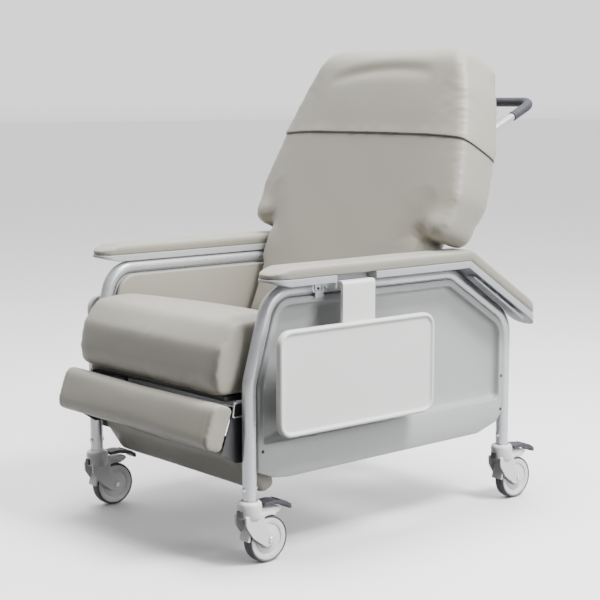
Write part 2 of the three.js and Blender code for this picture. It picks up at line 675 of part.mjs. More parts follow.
function axleGeometry() {
  const armOutside = TYRE_HALF_WIDTH + 8;
  return aboutX([
    [0, -armOutside - 3], [7, -armOutside - 3], [7, -armOutside - GAP], [4, -armOutside - GAP],
    [4, armOutside + GAP], [7, armOutside + GAP], [7, armOutside + 3], [0, armOutside + 3],
  ], 8);
}

function pedalGeometry() {
  const outline = fillet([
    [30, 145], [60, 145, 20], [90, 139, 20], [107, 129, 6], [109, 118, 3], [103, 118, 3],
    [95, 127, 8], [78, 132], [58, 135], [30, 135],
  ], 2);
  return sideSolid(outline, -20, 20);
}

function buildCasters() {
  const places = {
    front_left: [TRACK_HALF, 0],
    front_right: [-TRACK_HALF, 0],
    rear_left: [TRACK_HALF, REAR_LEG_Y],
    rear_right: [-TRACK_HALF, REAR_LEG_Y],
  };
  for (const [name, [x, y]] of Object.entries(places)) {
    const here = [x, y, 0];
    const axle = [x, y + TRAIL, WHEEL_R];
    add(chair, `caster_stem_${name}`, stemGeometry(), materials.steel, here);
    add(chair, `caster_housing_${name}`, housingGeometry(), materials.caster, here);
    add(chair, `caster_axle_${name}`, axleGeometry(), materials.steel, axle);
    add(chair, `wheel_hub_${name}`, hubGeometry(), materials.caster, axle);
    add(chair, `wheel_tyre_${name}`, tyreGeometry(), materials.rubber, axle);
    add(chair, `brake_pedal_${name}`, pedalGeometry(), materials.rubber, here);
  }
}

buildSideFrame();
buildCrossTubes();
buildSidePanels();
buildArmrests();
buildTrays();
buildSeat();
buildBack();
buildReclinePivots();
buildGasSpring();
buildLegrest();
buildCasters();

export default chair;
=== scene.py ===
import math

import bmesh
import bpy
import numpy as np
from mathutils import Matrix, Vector


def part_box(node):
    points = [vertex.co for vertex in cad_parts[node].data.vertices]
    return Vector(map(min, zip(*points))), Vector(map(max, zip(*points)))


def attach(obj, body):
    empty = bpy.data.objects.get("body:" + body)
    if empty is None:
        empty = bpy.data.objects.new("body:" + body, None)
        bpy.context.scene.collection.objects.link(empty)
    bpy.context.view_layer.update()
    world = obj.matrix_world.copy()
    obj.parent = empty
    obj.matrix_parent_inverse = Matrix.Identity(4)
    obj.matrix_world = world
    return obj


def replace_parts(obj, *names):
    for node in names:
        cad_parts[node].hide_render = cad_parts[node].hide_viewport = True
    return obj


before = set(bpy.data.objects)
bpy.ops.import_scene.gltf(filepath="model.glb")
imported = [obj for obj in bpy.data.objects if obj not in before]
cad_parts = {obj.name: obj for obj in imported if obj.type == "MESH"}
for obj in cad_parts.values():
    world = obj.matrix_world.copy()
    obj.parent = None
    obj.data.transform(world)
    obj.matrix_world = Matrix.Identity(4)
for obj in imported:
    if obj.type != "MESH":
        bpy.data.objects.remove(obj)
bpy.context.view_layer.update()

# ---- places taken from the frame (metres) --------------------------------------------
SIDES = {"left": 1, "right": -1}
CORNERS = ("front_left", "front_right", "rear_left", "rear_right")


def centre(node):
    low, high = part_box(node)
    return (Vector(low) + Vector(high)) / 2


Y_FRONT = centre("caster_stem_front_left").y  # every y below is measured from the front legs
TRACK = centre("caster_stem_front_left").x
REAR_Y = centre("caster_stem_rear_left").y - Y_FRONT

GAP = 0.0004
TUBE_R = 0.016
LEG_BOTTOM = 0.153
KNEE = (0.0, 0.418)
TOP_FRONT = (0.060, 0.621)
TOP_REAR = (0.637, 0.621)
ARM_SLOPE = math.radians(32.8)
REAR_CORNER = (REAR_Y, TOP_REAR[1] - (REAR_Y - TOP_REAR[0]) * math.tan(ARM_SLOPE))
RAIL_Z = (0.335, 0.365)

SHELL_X = (0.310, 0.334)
STEP_Z = 0.276

ARM_BASE_Z = 0.6374
ARM_BEND_Y = 0.6435

BACK_REF = (0.533, 0.635)
BACK_LEAN = math.radians(21)
BACK_REAR = [(0.106, -0.186), (0.106, 0.060), (0.113, 0.150), (0.123, 0.240), (0.132, 0.345), (0.134, 0.568)]
HANDLE_START = (0.090, 0.320)
HANDLE_BAR = (0.322, 0.559)
HANDLE_HALF = 0.240
HANDLE_BEND = 0.034

WHEEL_R = 0.055
TRAIL = 0.045
HOUSING_R = 0.028
HOUSING_TOP = 0.1504


def at(x, y, z):
    return Vector((x, Y_FRONT + y, z))


def on_back(x, d, h):
    """A point of the leaning back: d behind its front face, h up along it."""
    c, s = math.cos(BACK_LEAN), math.sin(BACK_LEAN)
    return at(x, BACK_REF[0] + d * c + h * s, BACK_REF[1] - d * s + h * c)


def arm_line(z, y):
    return z - max(0.0, y - ARM_BEND_Y) * math.tan(ARM_SLOPE)


# ---- materials ------------------------------------------------------------------------
class Shader:
    """A Principled material with its colour, roughness and bump made by nodes."""

    def __init__(self, name, color, roughness, metallic=0.0, **sockets):
        self.material = bpy.data.materials.new(name)
        self.material.use_nodes = True
        self.nodes = self.material.node_tree.nodes
        self.links = self.material.node_tree.links
        self.principled = self.nodes["Principled BSDF"]
        self.color = color
        self.principled.inputs["Base Color"].default_value = (*color, 1)
        self.principled.inputs["Roughness"].default_value = roughness
        self.principled.inputs["Metallic"].default_value = metallic
        for key, value in sockets.items():
            self.principled.inputs[key.replace("_", " ")].default_value = value
        self.coordinates = self.nodes.new("ShaderNodeTexCoord").outputs["Object"]
        self.height = None

    def noise(self, scale, detail=4.0, stretch=None):
        node = self.nodes.new("ShaderNodeTexNoise")
        node.inputs["Scale"].default_value = scale
        node.inputs["Detail"].default_value = detail
        self.links.new(self.place(stretch), node.inputs["Vector"])
        return node.outputs["Fac"]

    def cells(self, scale, feature="DISTANCE_TO_EDGE", stretch=None):
        node = self.nodes.new("ShaderNodeTexVoronoi")
        node.feature = feature
        node.inputs["Scale"].default_value = scale
        self.links.new(self.place(stretch), node.inputs["Vector"])
        return node.outputs["Distance"]

    def place(self, stretch):
        if stretch is None:
            return self.coordinates
        node = self.nodes.new("ShaderNodeMapping")
        node.inputs["Scale"].default_value = stretch
        self.links.new(self.coordinates, node.inputs["Vector"])
        return node.outputs["Vector"]

    def ramp(self, value, low, high, out_low, out_high):
        node = self.nodes.new("ShaderNodeMapRange")
        for key, number in (("From Min", low), ("From Max", high), ("To Min", out_low), ("To Max", out_high)):
            node.inputs[key].default_value = number
        self.links.new(value, node.inputs["Value"])
        return node.outputs["Result"]

    def tint(self, factor, other):
        """Mixes towards another colour by a 0 to 1 factor."""
        node = self.nodes.new("ShaderNodeMix")
        node.data_type = "RGBA"
        current = self.principled.inputs["Base Color"]
        if current.is_linked:
            self.links.new(current.links[0].from_socket, node.inputs["A"])
        else:
            node.inputs["A"].default_value = (*self.color, 1)
        node.inputs["B"].default_value = (*other, 1)
        self.links.new(factor, node.inputs["Factor"])
        self.links.new(node.outputs["Result"], current)
        return self

    def rough(self, value):
        self.links.new(value, self.principled.inputs["Roughness"])
        return self

    def bump(self, value, strength, distance):
        node = self.nodes.new("ShaderNodeBump")
        node.inputs["Strength"].default_value = strength
        node.inputs["Distance"].default_value = distance
        self.links.new(value, node.inputs["Height"])
        if self.height is not None:
            self.links.new(self.height, node.inputs["Normal"])
        self.height = node.outputs["Normal"]
        self.links.new(self.height, self.principled.inputs["Normal"])
        return self

    def worn_edges(self, other, low=0.52, high=0.62, amount=0.6):
        """Lighter or darker where edges stick out."""
        geometry = self.nodes.new("ShaderNodeNewGeometry")
        return self.tint(self.ramp(geometry.outputs["Pointiness"], low, high, 0.0, amount), other)


def shade(color, factor):
    return tuple(min(1.0, c * factor) for c in color)


VINYL = (0.328, 0.309, 0.263)
SILVER = (0.50, 0.51, 0.53)
PANEL_GREY = (0.43, 0.44, 0.44)
ARM_GREY = (0.42, 0.43, 0.45)
TRAY_WHITE = (0.80, 0.80, 0.785)
CASTER_WHITE = (0.82, 0.82, 0.82)
DARK_GREY = (0.042, 0.042, 0.053)
BLACK = (0.018, 0.018, 0.021)


def vinyl_material():
    s = Shader("vinyl", VINYL, 0.46, Specular_IOR_Level=0.42, Sheen_Weight=0.12, Sheen_Roughness=0.45,
               Coat_Weight=0.05, Coat_Roughness=0.35)
    s.tint(s.ramp(s.noise(5.0, 3.0), 0.35, 0.7, 0.0, 0.35), shade(VINYL, 0.90))
    s.tint(s.ramp(s.noise(420.0, 3.0), 0.4, 0.75, 0.0, 0.22), shade(VINYL, 0.80))
    s.tint(s.ramp(s.cells(900.0), 0.0, 0.12, 0.25, 0.0), shade(VINYL, 0.72))
    s.rough(s.ramp(s.noise(60.0, 5.0), 0.3, 0.7, 0.40, 0.54))
    s.bump(s.cells(900.0), 0.30, 0.0006)
    s.bump(s.noise(260.0, 4.0), 0.20, 0.0005)
    s.bump(s.noise(22.0, 3.0), 0.16, 0.003)
    return s.material


def painted_material(name, color, roughness, metallic=0.0):
    s = Shader(name, color, roughness, metallic, Specular_IOR_Level=0.5, Coat_Weight=0.15,
               Coat_Roughness=0.25)
    s.tint(s.ramp(s.noise(14.0, 4.0), 0.4, 0.7, 0.0, 0.3), shade(color, 0.93))
    s.worn_edges(shade(color, 1.12), 0.53, 0.64, 0.5)
    s.rough(s.ramp(s.noise(90.0, 4.0), 0.3, 0.7, roughness - 0.05, roughness + 0.08))
    s.bump(s.noise(700.0, 2.0), 0.05, 0.0003)
    return s.material


def moulded_material(name, color, roughness, grain=1100.0):
    s = Shader(name, color, roughness, Specular_IOR_Level=0.45)
    s.tint(s.ramp(s.noise(7.0, 3.0), 0.35, 0.7, 0.0, 0.35), shade(color, 0.94))
    s.tint(s.ramp(s.noise(grain, 2.0), 0.45, 0.8, 0.0, 0.25), shade(color, 0.88))
    s.worn_edges(shade(color, 1.10), 0.53, 0.66, 0.5)
    s.rough(s.ramp(s.noise(45.0, 5.0), 0.3, 0.7, roughness - 0.06, roughness + 0.08))
    s.bump(s.noise(grain, 3.0), 0.16, 0.0005)
    return s.material


def metal_material():
    s = Shader("plated_steel", (0.55, 0.56, 0.58), 0.34, 0.9)
    s.tint(s.ramp(s.noise(60.0, 6.0), 0.4, 0.75, 0.0, 0.4), (0.40, 0.40, 0.42))
    s.rough(s.ramp(s.noise(160.0, 5.0, (1, 8, 1)), 0.3, 0.7, 0.26, 0.44))
    s.bump(s.noise(500.0, 3.0, (1, 6, 1)), 0.12, 0.0003)
    return s.material


def rubber_material(name, color, roughness):
    s = Shader(name, color, roughness, Specular_IOR_Level=0.35)
    s.tint(s.ramp(s.noise(40.0, 5.0), 0.4, 0.7, 0.0, 0.5), shade(color, 1.5))
    s.rough(s.ramp(s.noise(120.0, 4.0), 0.3, 0.7, roughness - 0.08, roughness + 0.08))
    s.bump(s.cells(1300.0, "F1"), 0.25, 0.0005)
    return s.material


MATERIALS = {
    "vinyl": vinyl_material(),
    "frame_paint": painted_material("frame_paint", SILVER, 0.32, 0.35),
    "black_steel": painted_material("black_steel", BLACK, 0.42),
    "side_plastic": moulded_material("side_plastic", PANEL_GREY, 0.36),
    "arm_plastic": moulded_material("arm_plastic", ARM_GREY, 0.42),
    "tray_plastic": moulded_material("tray_plastic", TRAY_WHITE, 0.40),
    "plated_steel": metal_material(),
    "caster_plastic": moulded_material("caster_plastic", CASTER_WHITE, 0.30, 1600.0),
    "grip_rubber": rubber_material("grip_rubber", DARK_GREY, 0.62),
    "tyre_rubber": rubber_material("tyre_rubber", (0.10, 0.10, 0.115), 0.60),
    "pedal_plastic": rubber_material("pedal_plastic", DARK_GREY, 0.50),
}


# ---- mesh helpers ---------------------------------------------------------------------
def fillet(corners, steps=8, closed=True):
    """Corners (u, v, radius) as points, with each corner rounded by an arc."""
    points = []
    count = len(corners)
    for i, corner in enumerate(corners):
        here = Vector(corner[:2])
        radius = corner[2] if len(corner) > 2 else 0.0
        if radius <= 0 or (not closed and i in (0, count - 1)):
            points.append(here)
            continue
        before = (Vector(corners[i - 1][:2]) - here).normalized()
        after = (Vector(corners[(i + 1) % count][:2]) - here).normalized()
        half = before.angle(after) / 2
        hub = here + (before + after).normalized() * (radius / math.sin(half))
        reach = radius / math.tan(half)
        start = here + before * reach - hub
        end = here + after * reach - hub
        sweep = (math.pi - 2 * half) * (1 if start.x * end.y - start.y * end.x > 0 else -1)
        for k in range(steps + 1):
            angle = sweep * k / steps
            c, s = math.cos(angle), math.sin(angle)
            points.append(hub + Vector((start.x * c - start.y * s, start.x * s + start.y * c)))
    return points


def finish_mesh(name, mesh, slot, body, sharp=38, bevel=0.0, segments=3):
    """Turns a mesh into a shaded piece that rides on a body."""
    edit = bmesh.new()
    edit.from_mesh(mesh)
    bmesh.ops.recalc_face_normals(edit, faces=edit.faces)
    edit.to_mesh(mesh)
    edit.free()
    obj = bpy.data.objects.new(name, mesh)
    bpy.context.scene.collection.objects.link(obj)
    mesh.materials.clear()
    mesh.materials.append(MATERIALS[slot])
    for polygon in mesh.polygons:
        polygon.use_smooth = True
    mesh.set_sharp_from_angle(angle=math.radians(sharp))
    if bevel:
        rounding = obj.modifiers.new("edges", "BEVEL")
        rounding.width = bevel
        rounding.segments = segments
        rounding.limit_method = "ANGLE"
        rounding.angle_limit = math.radians(sharp)
        rounding.harden_normals = False
        weighted = obj.modifiers.new("normals", "WEIGHTED_NORMAL")
        weighted.keep_sharp = False
        mesh.set_sharp_from_angle(angle=math.pi)
    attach(obj, body)
    return obj


def build(name, vertices, faces, slot, body, **look):
    mesh = bpy.data.meshes.new(name)
    mesh.from_pydata([tuple(v) for v in vertices], [], faces)
    mesh.update()
    return finish_mesh(name, mesh, slot, body, **look)


def loft(name, rings, slot, body, caps=(True, True), wrap=False, **look):
    """Quads between rings of points, with flat ends."""
    n = len(rings[0])
    vertices = [p for ring in rings for p in ring]
    faces = []
    pairs = [(r, r + 1) for r in range(len(rings) - 1)]
    if wrap:
        pairs.append((len(rings) - 1, 0))
    for r, s in pairs:
        for i in range(n):
            j = (i + 1) % n
            faces.append((r * n + i, r * n + j, s * n + j, s * n + i))
    if caps[0] and not wrap:
        faces.append(tuple(reversed(range(n))))
    if caps[1] and not wrap:
        faces.append(tuple((len(rings) - 1) * n + i for i in range(n)))
    return build(name, vertices, faces, slot, body, **look)


def sweep(name, path, radius, slot, body, sides=24, wrap=False, **look):
    """A round bar along a path, its rings turned without twist."""
    path = [Vector(p) for p in path]
    count = len(path)
    tangents = []
    for i in range(count):
        before = path[i - 1] if wrap or i else path[i]
        after = path[(i + 1) % count] if wrap or i < count - 1 else path[i]
        tangents.append((after - before).normalized())
    side = tangents[0].orthogonal().normalized()
    rings = []
    for point, tangent in zip(path, tangents):
        side = (side - tangent * side.dot(tangent)).normalized()
        up = tangent.cross(side)
        rings.append([point + side * (radius * math.cos(a)) + up * (radius * math.sin(a))
                      for a in (2 * math.pi * k / sides for k in range(sides))])
    return loft(name, rings, slot, body, wrap=wrap, **look)


def bent(corners, place, steps=12):
    """A path with rounded bends, from 2D corners."""
    return [place(p.x, p.y) for p in fillet(corners, steps, closed=False)]


def prism(name, outline, span, place, slot, body, bevel=0.001, **look):
    """An outline pushed from span[0] to span[1]; place(u, v, w) gives the point."""
    rings = [[place(p[0], p[1], w) for p in outline] for w in span]
    return loft(name, rings, slot, body, bevel=bevel, **look)


def side_place(u, v, w):
    return at(w, u, v)


def lathe(name, profile, place, slot, body, segments=64, **look):
    """A closed profile (radius, along) turned about an axis; place(a, b, along) gives the point."""
    rings = []
    for k in range(segments):
        angle = 2 * math.pi * k / segments
        rings.append([place(r * math.cos(angle), r * math.sin(angle), a) for r, a in profile])
    return loft(name, rings, slot, body, wrap=True, **look)


def copy_of(name, nodes):
    """One mesh with the solids of several CAD nodes."""
    edit = bmesh.new()
    for node in nodes:
        edit.from_mesh(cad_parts[node].data)
    mesh = bpy.data.meshes.new(name)
    edit.to_mesh(mesh)
    edit.free()
    return mesh


def refine(node, slot, body, bevel=0.0009):
    """A finer copy of a hard CAD node: clean flat faces, rounded edges, smooth curves."""
    mesh = copy_of(node + "_fine", [node])
    edit = bmesh.new()
    edit.from_mesh(mesh)
    bmesh.ops.remove_doubles(edit, verts=edit.verts, dist=1e-6)
    bmesh.ops.dissolve_limit(edit, angle_limit=math.radians(1.0), verts=edit.verts, edges=edit.edges)
    edit.to_mesh(mesh)
    edit.free()
    piece = finish_mesh(node + "_fine", mesh, slot, body, sharp=32, bevel=bevel, segments=2)
    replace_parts(piece, node)
    return piece


# ---- upholstery -----------------------------------------------------------------------
def evaluated(obj):
    graph = bpy.context.evaluated_depsgraph_get()
    graph.update()
    return bpy.data.meshes.new_from_object(obj.evaluated_get(graph))


def points_of(mesh):
    points = np.empty(len(mesh.vertices) * 3)
    mesh.vertices.foreach_get("co", points)
    return points.reshape(-1, 3)


def normals_of(mesh):
    normals = np.empty(len(mesh.vertices) * 3)
    mesh.vertices.foreach_get("normal", normals)
    return normals.reshape(-1, 3)


def set_points(mesh, points):
    mesh.vertices.foreach_set("co", points.ravel())
    mesh.update()


CLOTH_FRAMES = 20
CLOTH_STIFFNESS = 18
CLOTH_BENDING = 2.0
CLOTH_QUALITY = 4
PRESSURE = 4.0
WITHIN_CAP = 97                     # percent of the points that move less than the cap


def stuffed(name, mesh, voxel, rounding, inset, pressure, cap, grow=0.0):
    """Padded cloth: remesh, round off, then swell by cloth pressure.

    The swelling keeps the piece's mean size. Most points move less than the cap, none more than twice it.
    """
    obj = bpy.data.objects.new(name, mesh)
    bpy.context.scene.collection.objects.link(obj)
    remesh = obj.modifiers.new("remesh", "REMESH")
    remesh.mode = "VOXEL"
    remesh.voxel_size = voxel
    smooth = obj.modifiers.new("smooth", "SMOOTH")
    smooth.factor = 0.5
    smooth.iterations = rounding
    obj.data = evaluated(obj)
    obj.modifiers.clear()
    outward = normals_of(obj.data)
    filled = points_of(obj.data) + outward * grow
    set_points(obj.data, filled - outward * inset)
    if pressure:
        cloth = obj.modifiers.new("cloth", "CLOTH")
        settings = cloth.settings
        settings.use_pressure = True
        settings.uniform_pressure_force = pressure
        settings.effector_weights.gravity = 0
        settings.quality = CLOTH_QUALITY
        settings.tension_stiffness = CLOTH_STIFFNESS
        settings.compression_stiffness = CLOTH_STIFFNESS
        settings.bending_stiffness = CLOTH_BENDING
        cloth.point_cache.frame_start = 1
        cloth.point_cache.frame_end = CLOTH_FRAMES
        for step in range(1, CLOTH_FRAMES + 1):
            bpy.context.scene.frame_set(step)
        move = points_of(evaluated(obj)) - filled
        obj.modifiers.clear()
        bpy.context.scene.frame_set(1)
        move -= outward * np.mean(np.sum(move * outward, axis=1))
        move *= min(1.0, cap / np.percentile(np.linalg.norm(move, axis=1), WITHIN_CAP))
        length = np.linalg.norm(move, axis=1, keepdims=True)
        filled = filled + move * np.tanh(length / (2 * cap)) * 2 * cap / np.maximum(length, 1e-9)
    set_points(obj.data, filled)
    return obj


def relax(obj, iterations):
    smooth = obj.modifiers.new("smooth", "SMOOTH")
    smooth.factor = 0.5
    smooth.iterations = iterations
    obj.data = evaluated(obj)
    obj.modifiers.clear()


def ripple(points, scale, phase=0.0):
    """A smooth uneven field between -1 and 1."""
    x, y, z = (points * scale).T
    return (np.sin(x + 1.7 * np.sin(0.7 * y + phase)) + np.sin(1.3 * z + 0.9 * x + phase)
            + np.sin(0.8 * y - 1.1 * z + 2 * phase)) / 3


def shape(obj, mover):
    """Moves the points along their normals by mover(points) metres."""
    points = points_of(obj.data)
    set_points(obj.data, points + normals_of(obj.data) * mover(points)[:, None])


def keep_within(obj, low, high):
    """Presses the points that stand out of a box back to it."""
    points = points_of(obj.data)
    set_points(obj.data, np.clip(points, low, high))


def upholster(obj, body, nodes, slot="vinyl"):
    mesh = obj.data
    mesh.materials.clear()
    mesh.materials.append(MATERIALS[slot])
    for polygon in mesh.polygons:
        polygon.use_smooth = True
    finer = obj.modifiers.new("finer", "SUBSURF")
    finer.levels = 1
    finer.render_levels = 1
    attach(obj, body)
    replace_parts(obj, *nodes)
    return obj


def groove(distance, width, depth):
    """A sewn line: a narrow valley at distance zero."""
    return -depth * np.exp(-(distance / width) ** 2)


def back_frame(points):
    """(x, d, h) of points on the leaning back."""
    c, s = math.cos(BACK_LEAN), math.sin(BACK_LEAN)
    dy = points[:, 1] - Y_FRONT - BACK_REF[0]
    dz = points[:, 2] - BACK_REF[1]
    return points[:, 0], dy * c - dz * s, dy * s + dz * c


def rear_depth(h):
    hs = [p[1] for p in BACK_REAR]
    return float(np.interp(h, hs, [p[0] for p in BACK_REAR]))


def add_board(mesh, low, high, half_width, levels=24):
    """Adds the rear board's volume to a cushion mesh, so that the cover wraps round it."""
    edit = bmesh.new()
    edit.from_mesh(mesh)
    rings = []
    for k in range(levels + 1):
        h = low + (high - low) * k / levels
        w = half_width(h)
        d = rear_depth(h)
        rings.append([edit.verts.new(on_back(x, depth, h))
                      for x, depth in ((-w, d - 0.034), (w, d - 0.034), (w, d + 0.003), (-w, d + 0.003))])
    for first, second in zip(rings, rings[1:]):
        for i in range(4):
            j = (i + 1) % 4
            edit.faces.new((first[i], first[j], second[j], second[i]))
    edit.faces.new(list(reversed(rings[0])))
    edit.faces.new(rings[-1])
    bmesh.ops.recalc_face_normals(edit, faces=edit.faces)
    edit.to_mesh(mesh)
    edit.free()
    return mesh


def board_half(h):
    widths = [(-0.19, 0.279), (0.095, 0.279), (0.110, 0.296), (0.150, 0.366), (0.200, 0.376),
              (0.350, 0.343), (0.480, 0.299), (0.560, 0.262)]
    return float(np.interp(h, [w[0] for w in widths], [w[1] for w in widths]))


SEAM_FRONT = (-0.005, 0.344)       # (d, h) of the head cover's hem at the front and at the rear
SEAM_REAR = (0.170, 0.318)


def seam_height(d):
    slope = (SEAM_REAR[1] - SEAM_FRONT[1]) / (SEAM_REAR[0] - SEAM_FRONT[0])
    return SEAM_FRONT[1] + slope * (d - SEAM_FRONT[0])


def fold(points):
    """The back's crown, and the folds where the wings are sewn to it between the arms."""
    x, d, h = back_frame(points)
    front = np.clip(1 - d / 0.05, 0, 1)
    crown = 0.003 * np.cos(np.clip(x / 0.36, -1, 1) * math.pi / 2) * front
    sewn = np.exp(-((np.abs(x) - 0.298) / 0.028) ** 2) * np.exp(-((h - 0.090) / 0.022) ** 2)
    creases = np.sin(h * 260 + np.abs(x) * 130 + 2.5 * np.sin(x * 31 + h * 40)) * sewn
    roll = np.exp(-((np.abs(x) - 0.335) / 0.034) ** 2) * np.exp(-((h - 0.112) / 0.034) ** 2)
    return crown - 0.010 * sewn + 0.0011 * creases + 0.010 * roll + 0.0007 * ripple(points, 26.0)


def dent(points):
    """The shallow pull across the head cover and the small puckers at its hem."""
    x, d, h = back_frame(points)
    front = np.clip(1 - d / 0.045, 0, 1)
    bow = h - 0.522 + 0.55 * x ** 2 - 0.05 * x
    valley = np.exp(-(bow / 0.019) ** 2) * np.clip(1 - (x / 0.19) ** 2, 0, 1) ** 0.5
    above = np.exp(-((bow - 0.030) / 0.018) ** 2) * np.clip(1 - (x / 0.21) ** 2, 0, 1)
    rise = h - seam_height(d)
    hem = np.exp(-(rise / 0.016) ** 2)
    pucker = np.sin(x * 70 + 2 * np.sin(x * 23)) * hem
    return front * (-0.0050 * valley + 0.0026 * above) + 0.0006 * pucker + 0.0012 * hem * front


def cut_sleeve(obj, thickness=0.0030):
    """Keeps what is above the hem, pushed out a little, with a turned-in lower edge."""
    mesh = obj.data
    set_points(mesh, points_of(mesh) + normals_of(mesh) * thickness)
    front, rear = on_back(0, *SEAM_FRONT), on_back(0, *SEAM_REAR)
    down = Vector((1, 0, 0)).cross(rear - front).normalized()
    edit = bmesh.new()
    edit.from_mesh(mesh)
    cut = bmesh.ops.bisect_plane(edit, geom=edit.verts[:] + edit.edges[:] + edit.faces[:], plane_co=front,
                                 plane_no=down, clear_outer=down.z < 0, clear_inner=down.z > 0)
    rim = [e for e in cut["geom_cut"] if isinstance(e, bmesh.types.BMEdge)]
    middle = (front + rear) / 2
    for share in (0.985, 0.95):
        made = bmesh.ops.extrude_edge_only(edit, edges=rim)["geom"]
        for vertex in (v for v in made if isinstance(v, bmesh.types.BMVert)):
            offset = vertex.co - middle
            vertex.co = middle + offset * share
        rim = [e for e in made if isinstance(e, bmesh.types.BMEdge) and e.is_boundary]
    bmesh.ops.holes_fill(edit, edges=rim, sides=0)
    bmesh.ops.recalc_face_normals(edit, faces=edit.faces)
    edit.to_mesh(mesh)
    edit.free()


def build_back():
    whole = add_board(copy_of("back_cushion_soft", ["back_cushion", "head_cover"]), -0.184, 0.570, board_half)
    lower = stuffed("back_cushion_soft", whole, voxel=0.0060, rounding=40, inset=0.004, pressure=PRESSURE,
                    cap=0.008, grow=0.008)
    relax(lower, 6)
    shape(lower, fold)
    head = bpy.data.objects.new("head_cover_soft", lower.data.copy())
    bpy.context.scene.collection.objects.link(head)
    shape(head, dent)
    cut_sleeve(head)
    shape(lower, lambda points: -0.004 * np.clip(
        (back_frame(points)[2] - seam_height(back_frame(points)[1]) + 0.004) / 0.006, 0, 1))
    upholster(lower, "back", ["back_cushion"])
    upholster(head, "back", ["head_cover"])


def build_seat():
    seat = stuffed("seat_cushion_soft", copy_of("seat_cushion_soft", ["seat_cushion"]),
                   voxel=0.0065, rounding=14, inset=0.006, pressure=PRESSURE, cap=0.008, grow=0.003)
    relax(seat, 3)

    def crown(points):
        x = points[:, 0]
        end = np.clip((np.abs(x) - 0.25) / 0.04, 0, 1)
        tuck = groove(np.abs(x) - 0.279, 0.004, 0.0016)
        top = np.clip((points[:, 2] - 0.50) / 0.05, 0, 1)
        dish = -0.004 * np.exp(-(x / 0.17) ** 2) * top
        return tuck + dish - 0.002 * end + 0.0006 * ripple(points, 22.0, 0.5)

    shape(seat, crown)
    low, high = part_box("seat_cushion")
    keep_within(seat, (low[0] - 0.004, low[1] - 0.008, low[2]),
                (high[0] + 0.004, high[1] + 0.008, high[2] + 0.012))
    upholster(seat, "frame", ["seat_cushion"])


def build_leg_cushions():
    for node, body, seam_x in (("legrest_pad", "legrest", 0.292), ("foot_pad", "footrest", 0.270)):
        pad = stuffed(node + "_soft", copy_of(node + "_soft", [node]),
                      voxel=0.0055, rounding=9, inset=0.004, pressure=PRESSURE, cap=0.004, grow=0.001)
        relax(pad, 2)

        def sewn(points, seam_x=seam_x):
            return groove(np.abs(points[:, 0]) - seam_x, 0.0035, 0.0012) + 0.0005 * ripple(points, 25.0, 2.0)

        shape(pad, sewn)
        low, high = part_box(node)
        keep_within(pad, (low[0] - 0.0005, -9, -9), (high[0] + 0.0005, 9, 9))
        upholster(pad, body, [node])


def build_arm_pads():
    for side in SIDES:
        node = f"armrest_pad_{side}"
        pad = stuffed(node + "_soft", copy_of(node + "_soft", [node]),
                      voxel=0.004, rounding=14, inset=0.0, pressure=0.0, cap=0.0, grow=0.0015)

        def seam(points):
            height = points[:, 2] - np.array([arm_line(0.6566, y) for y in points[:, 1] - Y_FRONT])
            return groove(height - 0.004, 0.0025, 0.0010) + 0.0004 * ripple(points, 30.0)

        shape(pad, seam)
        upholster(pad, "frame", [node])


# ---- side frames ----------------------------------------------------------------------
def build_side_frames():
    corners = [(0.0, LEG_BOTTOM), (*KNEE, 0.120), (*TOP_FRONT, 0.070), (*TOP_REAR, 0.060),
               (*REAR_CORNER, 0.075), (REAR_Y, LEG_BOTTOM)]
    for side, sign in SIDES.items():
        tube = sweep(f"side_tube_{side}", bent(corners, lambda y, z: at(sign * TRACK, y, z)),
                     TUBE_R, "frame_paint", "frame", sides=36)
        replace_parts(tube, f"side_frame_{side}")
        rail = fillet([(0.010, RAIL_Z[0]), (REAR_Y - 0.010, RAIL_Z[0]), (REAR_Y - 0.010, RAIL_Z[1]),
                       (0.010, RAIL_Z[1])])
        inner = TRACK - TUBE_R
        prism(f"side_rail_{side}", rail, (sign * inner, sign * (inner + 0.0055)), side_place,
              "frame_paint", "frame", bevel=0.0012)


def loop_inside(inset):
    """Corners of the space inside the bent side frame, as (name: (y, z, radius))."""
    lean = Vector((TOP_FRONT[0] - KNEE[0], TOP_FRONT[1] - KNEE[1])).normalized()
    top = TOP_FRONT[1] - inset

    def lean_y(z):
        return KNEE[0] + inset / lean.y + (z - KNEE[1]) * lean.x / lean.y

    drop = TOP_REAR[1] - inset / math.cos(ARM_SLOPE)
    rear_y = REAR_Y - inset
    return {
        "front_y": inset,
        "rear_y": rear_y,
        "knee": (inset, KNEE[1] - inset * math.tan(math.atan2(lean.x, lean.y) / 2), 0.120 - inset),
        "top_front": (lean_y(top), top, max(0.070 - inset, 0.012)),
        "top_rear": (TOP_REAR[0] + (drop - top) / math.tan(ARM_SLOPE), top, max(0.060 - inset, 0.012)),
        "rear": (rear_y, drop - (rear_y - TOP_REAR[0]) * math.tan(ARM_SLOPE), max(0.075 - inset, 0.012)),
    }


def panel_outline(inset):
    c = loop_inside(TUBE_R + GAP + inset)
    low = 0.191 + inset
    return fillet([
        (c["front_y"], 0.214 + inset * 0.5), (0.062, low + 0.005, 0.020), (0.105, low, 0.0),
        (0.735, low + 0.006, 0.030),
        (0.806 - inset * 0.4, low + 0.027, 0.030), (c["rear_y"], 0.240 + inset * 0.5),
        c["rear"], c["top_rear"], c["top_front"], c["knee"],
    ])


def recess_outline(inset):
    c = loop_inside(TUBE_R + GAP + 0.013 + inset)
    floor = STEP_Z + inset * 0.6
    return fillet([
        (c["front_y"], floor, 0.006), (c["rear_y"], floor, 0.016),
        c["rear"], c["top_rear"], c["top_front"], c["knee"],
    ])


RAYS = 720
PANEL_HUB = (0.42, 0.40)


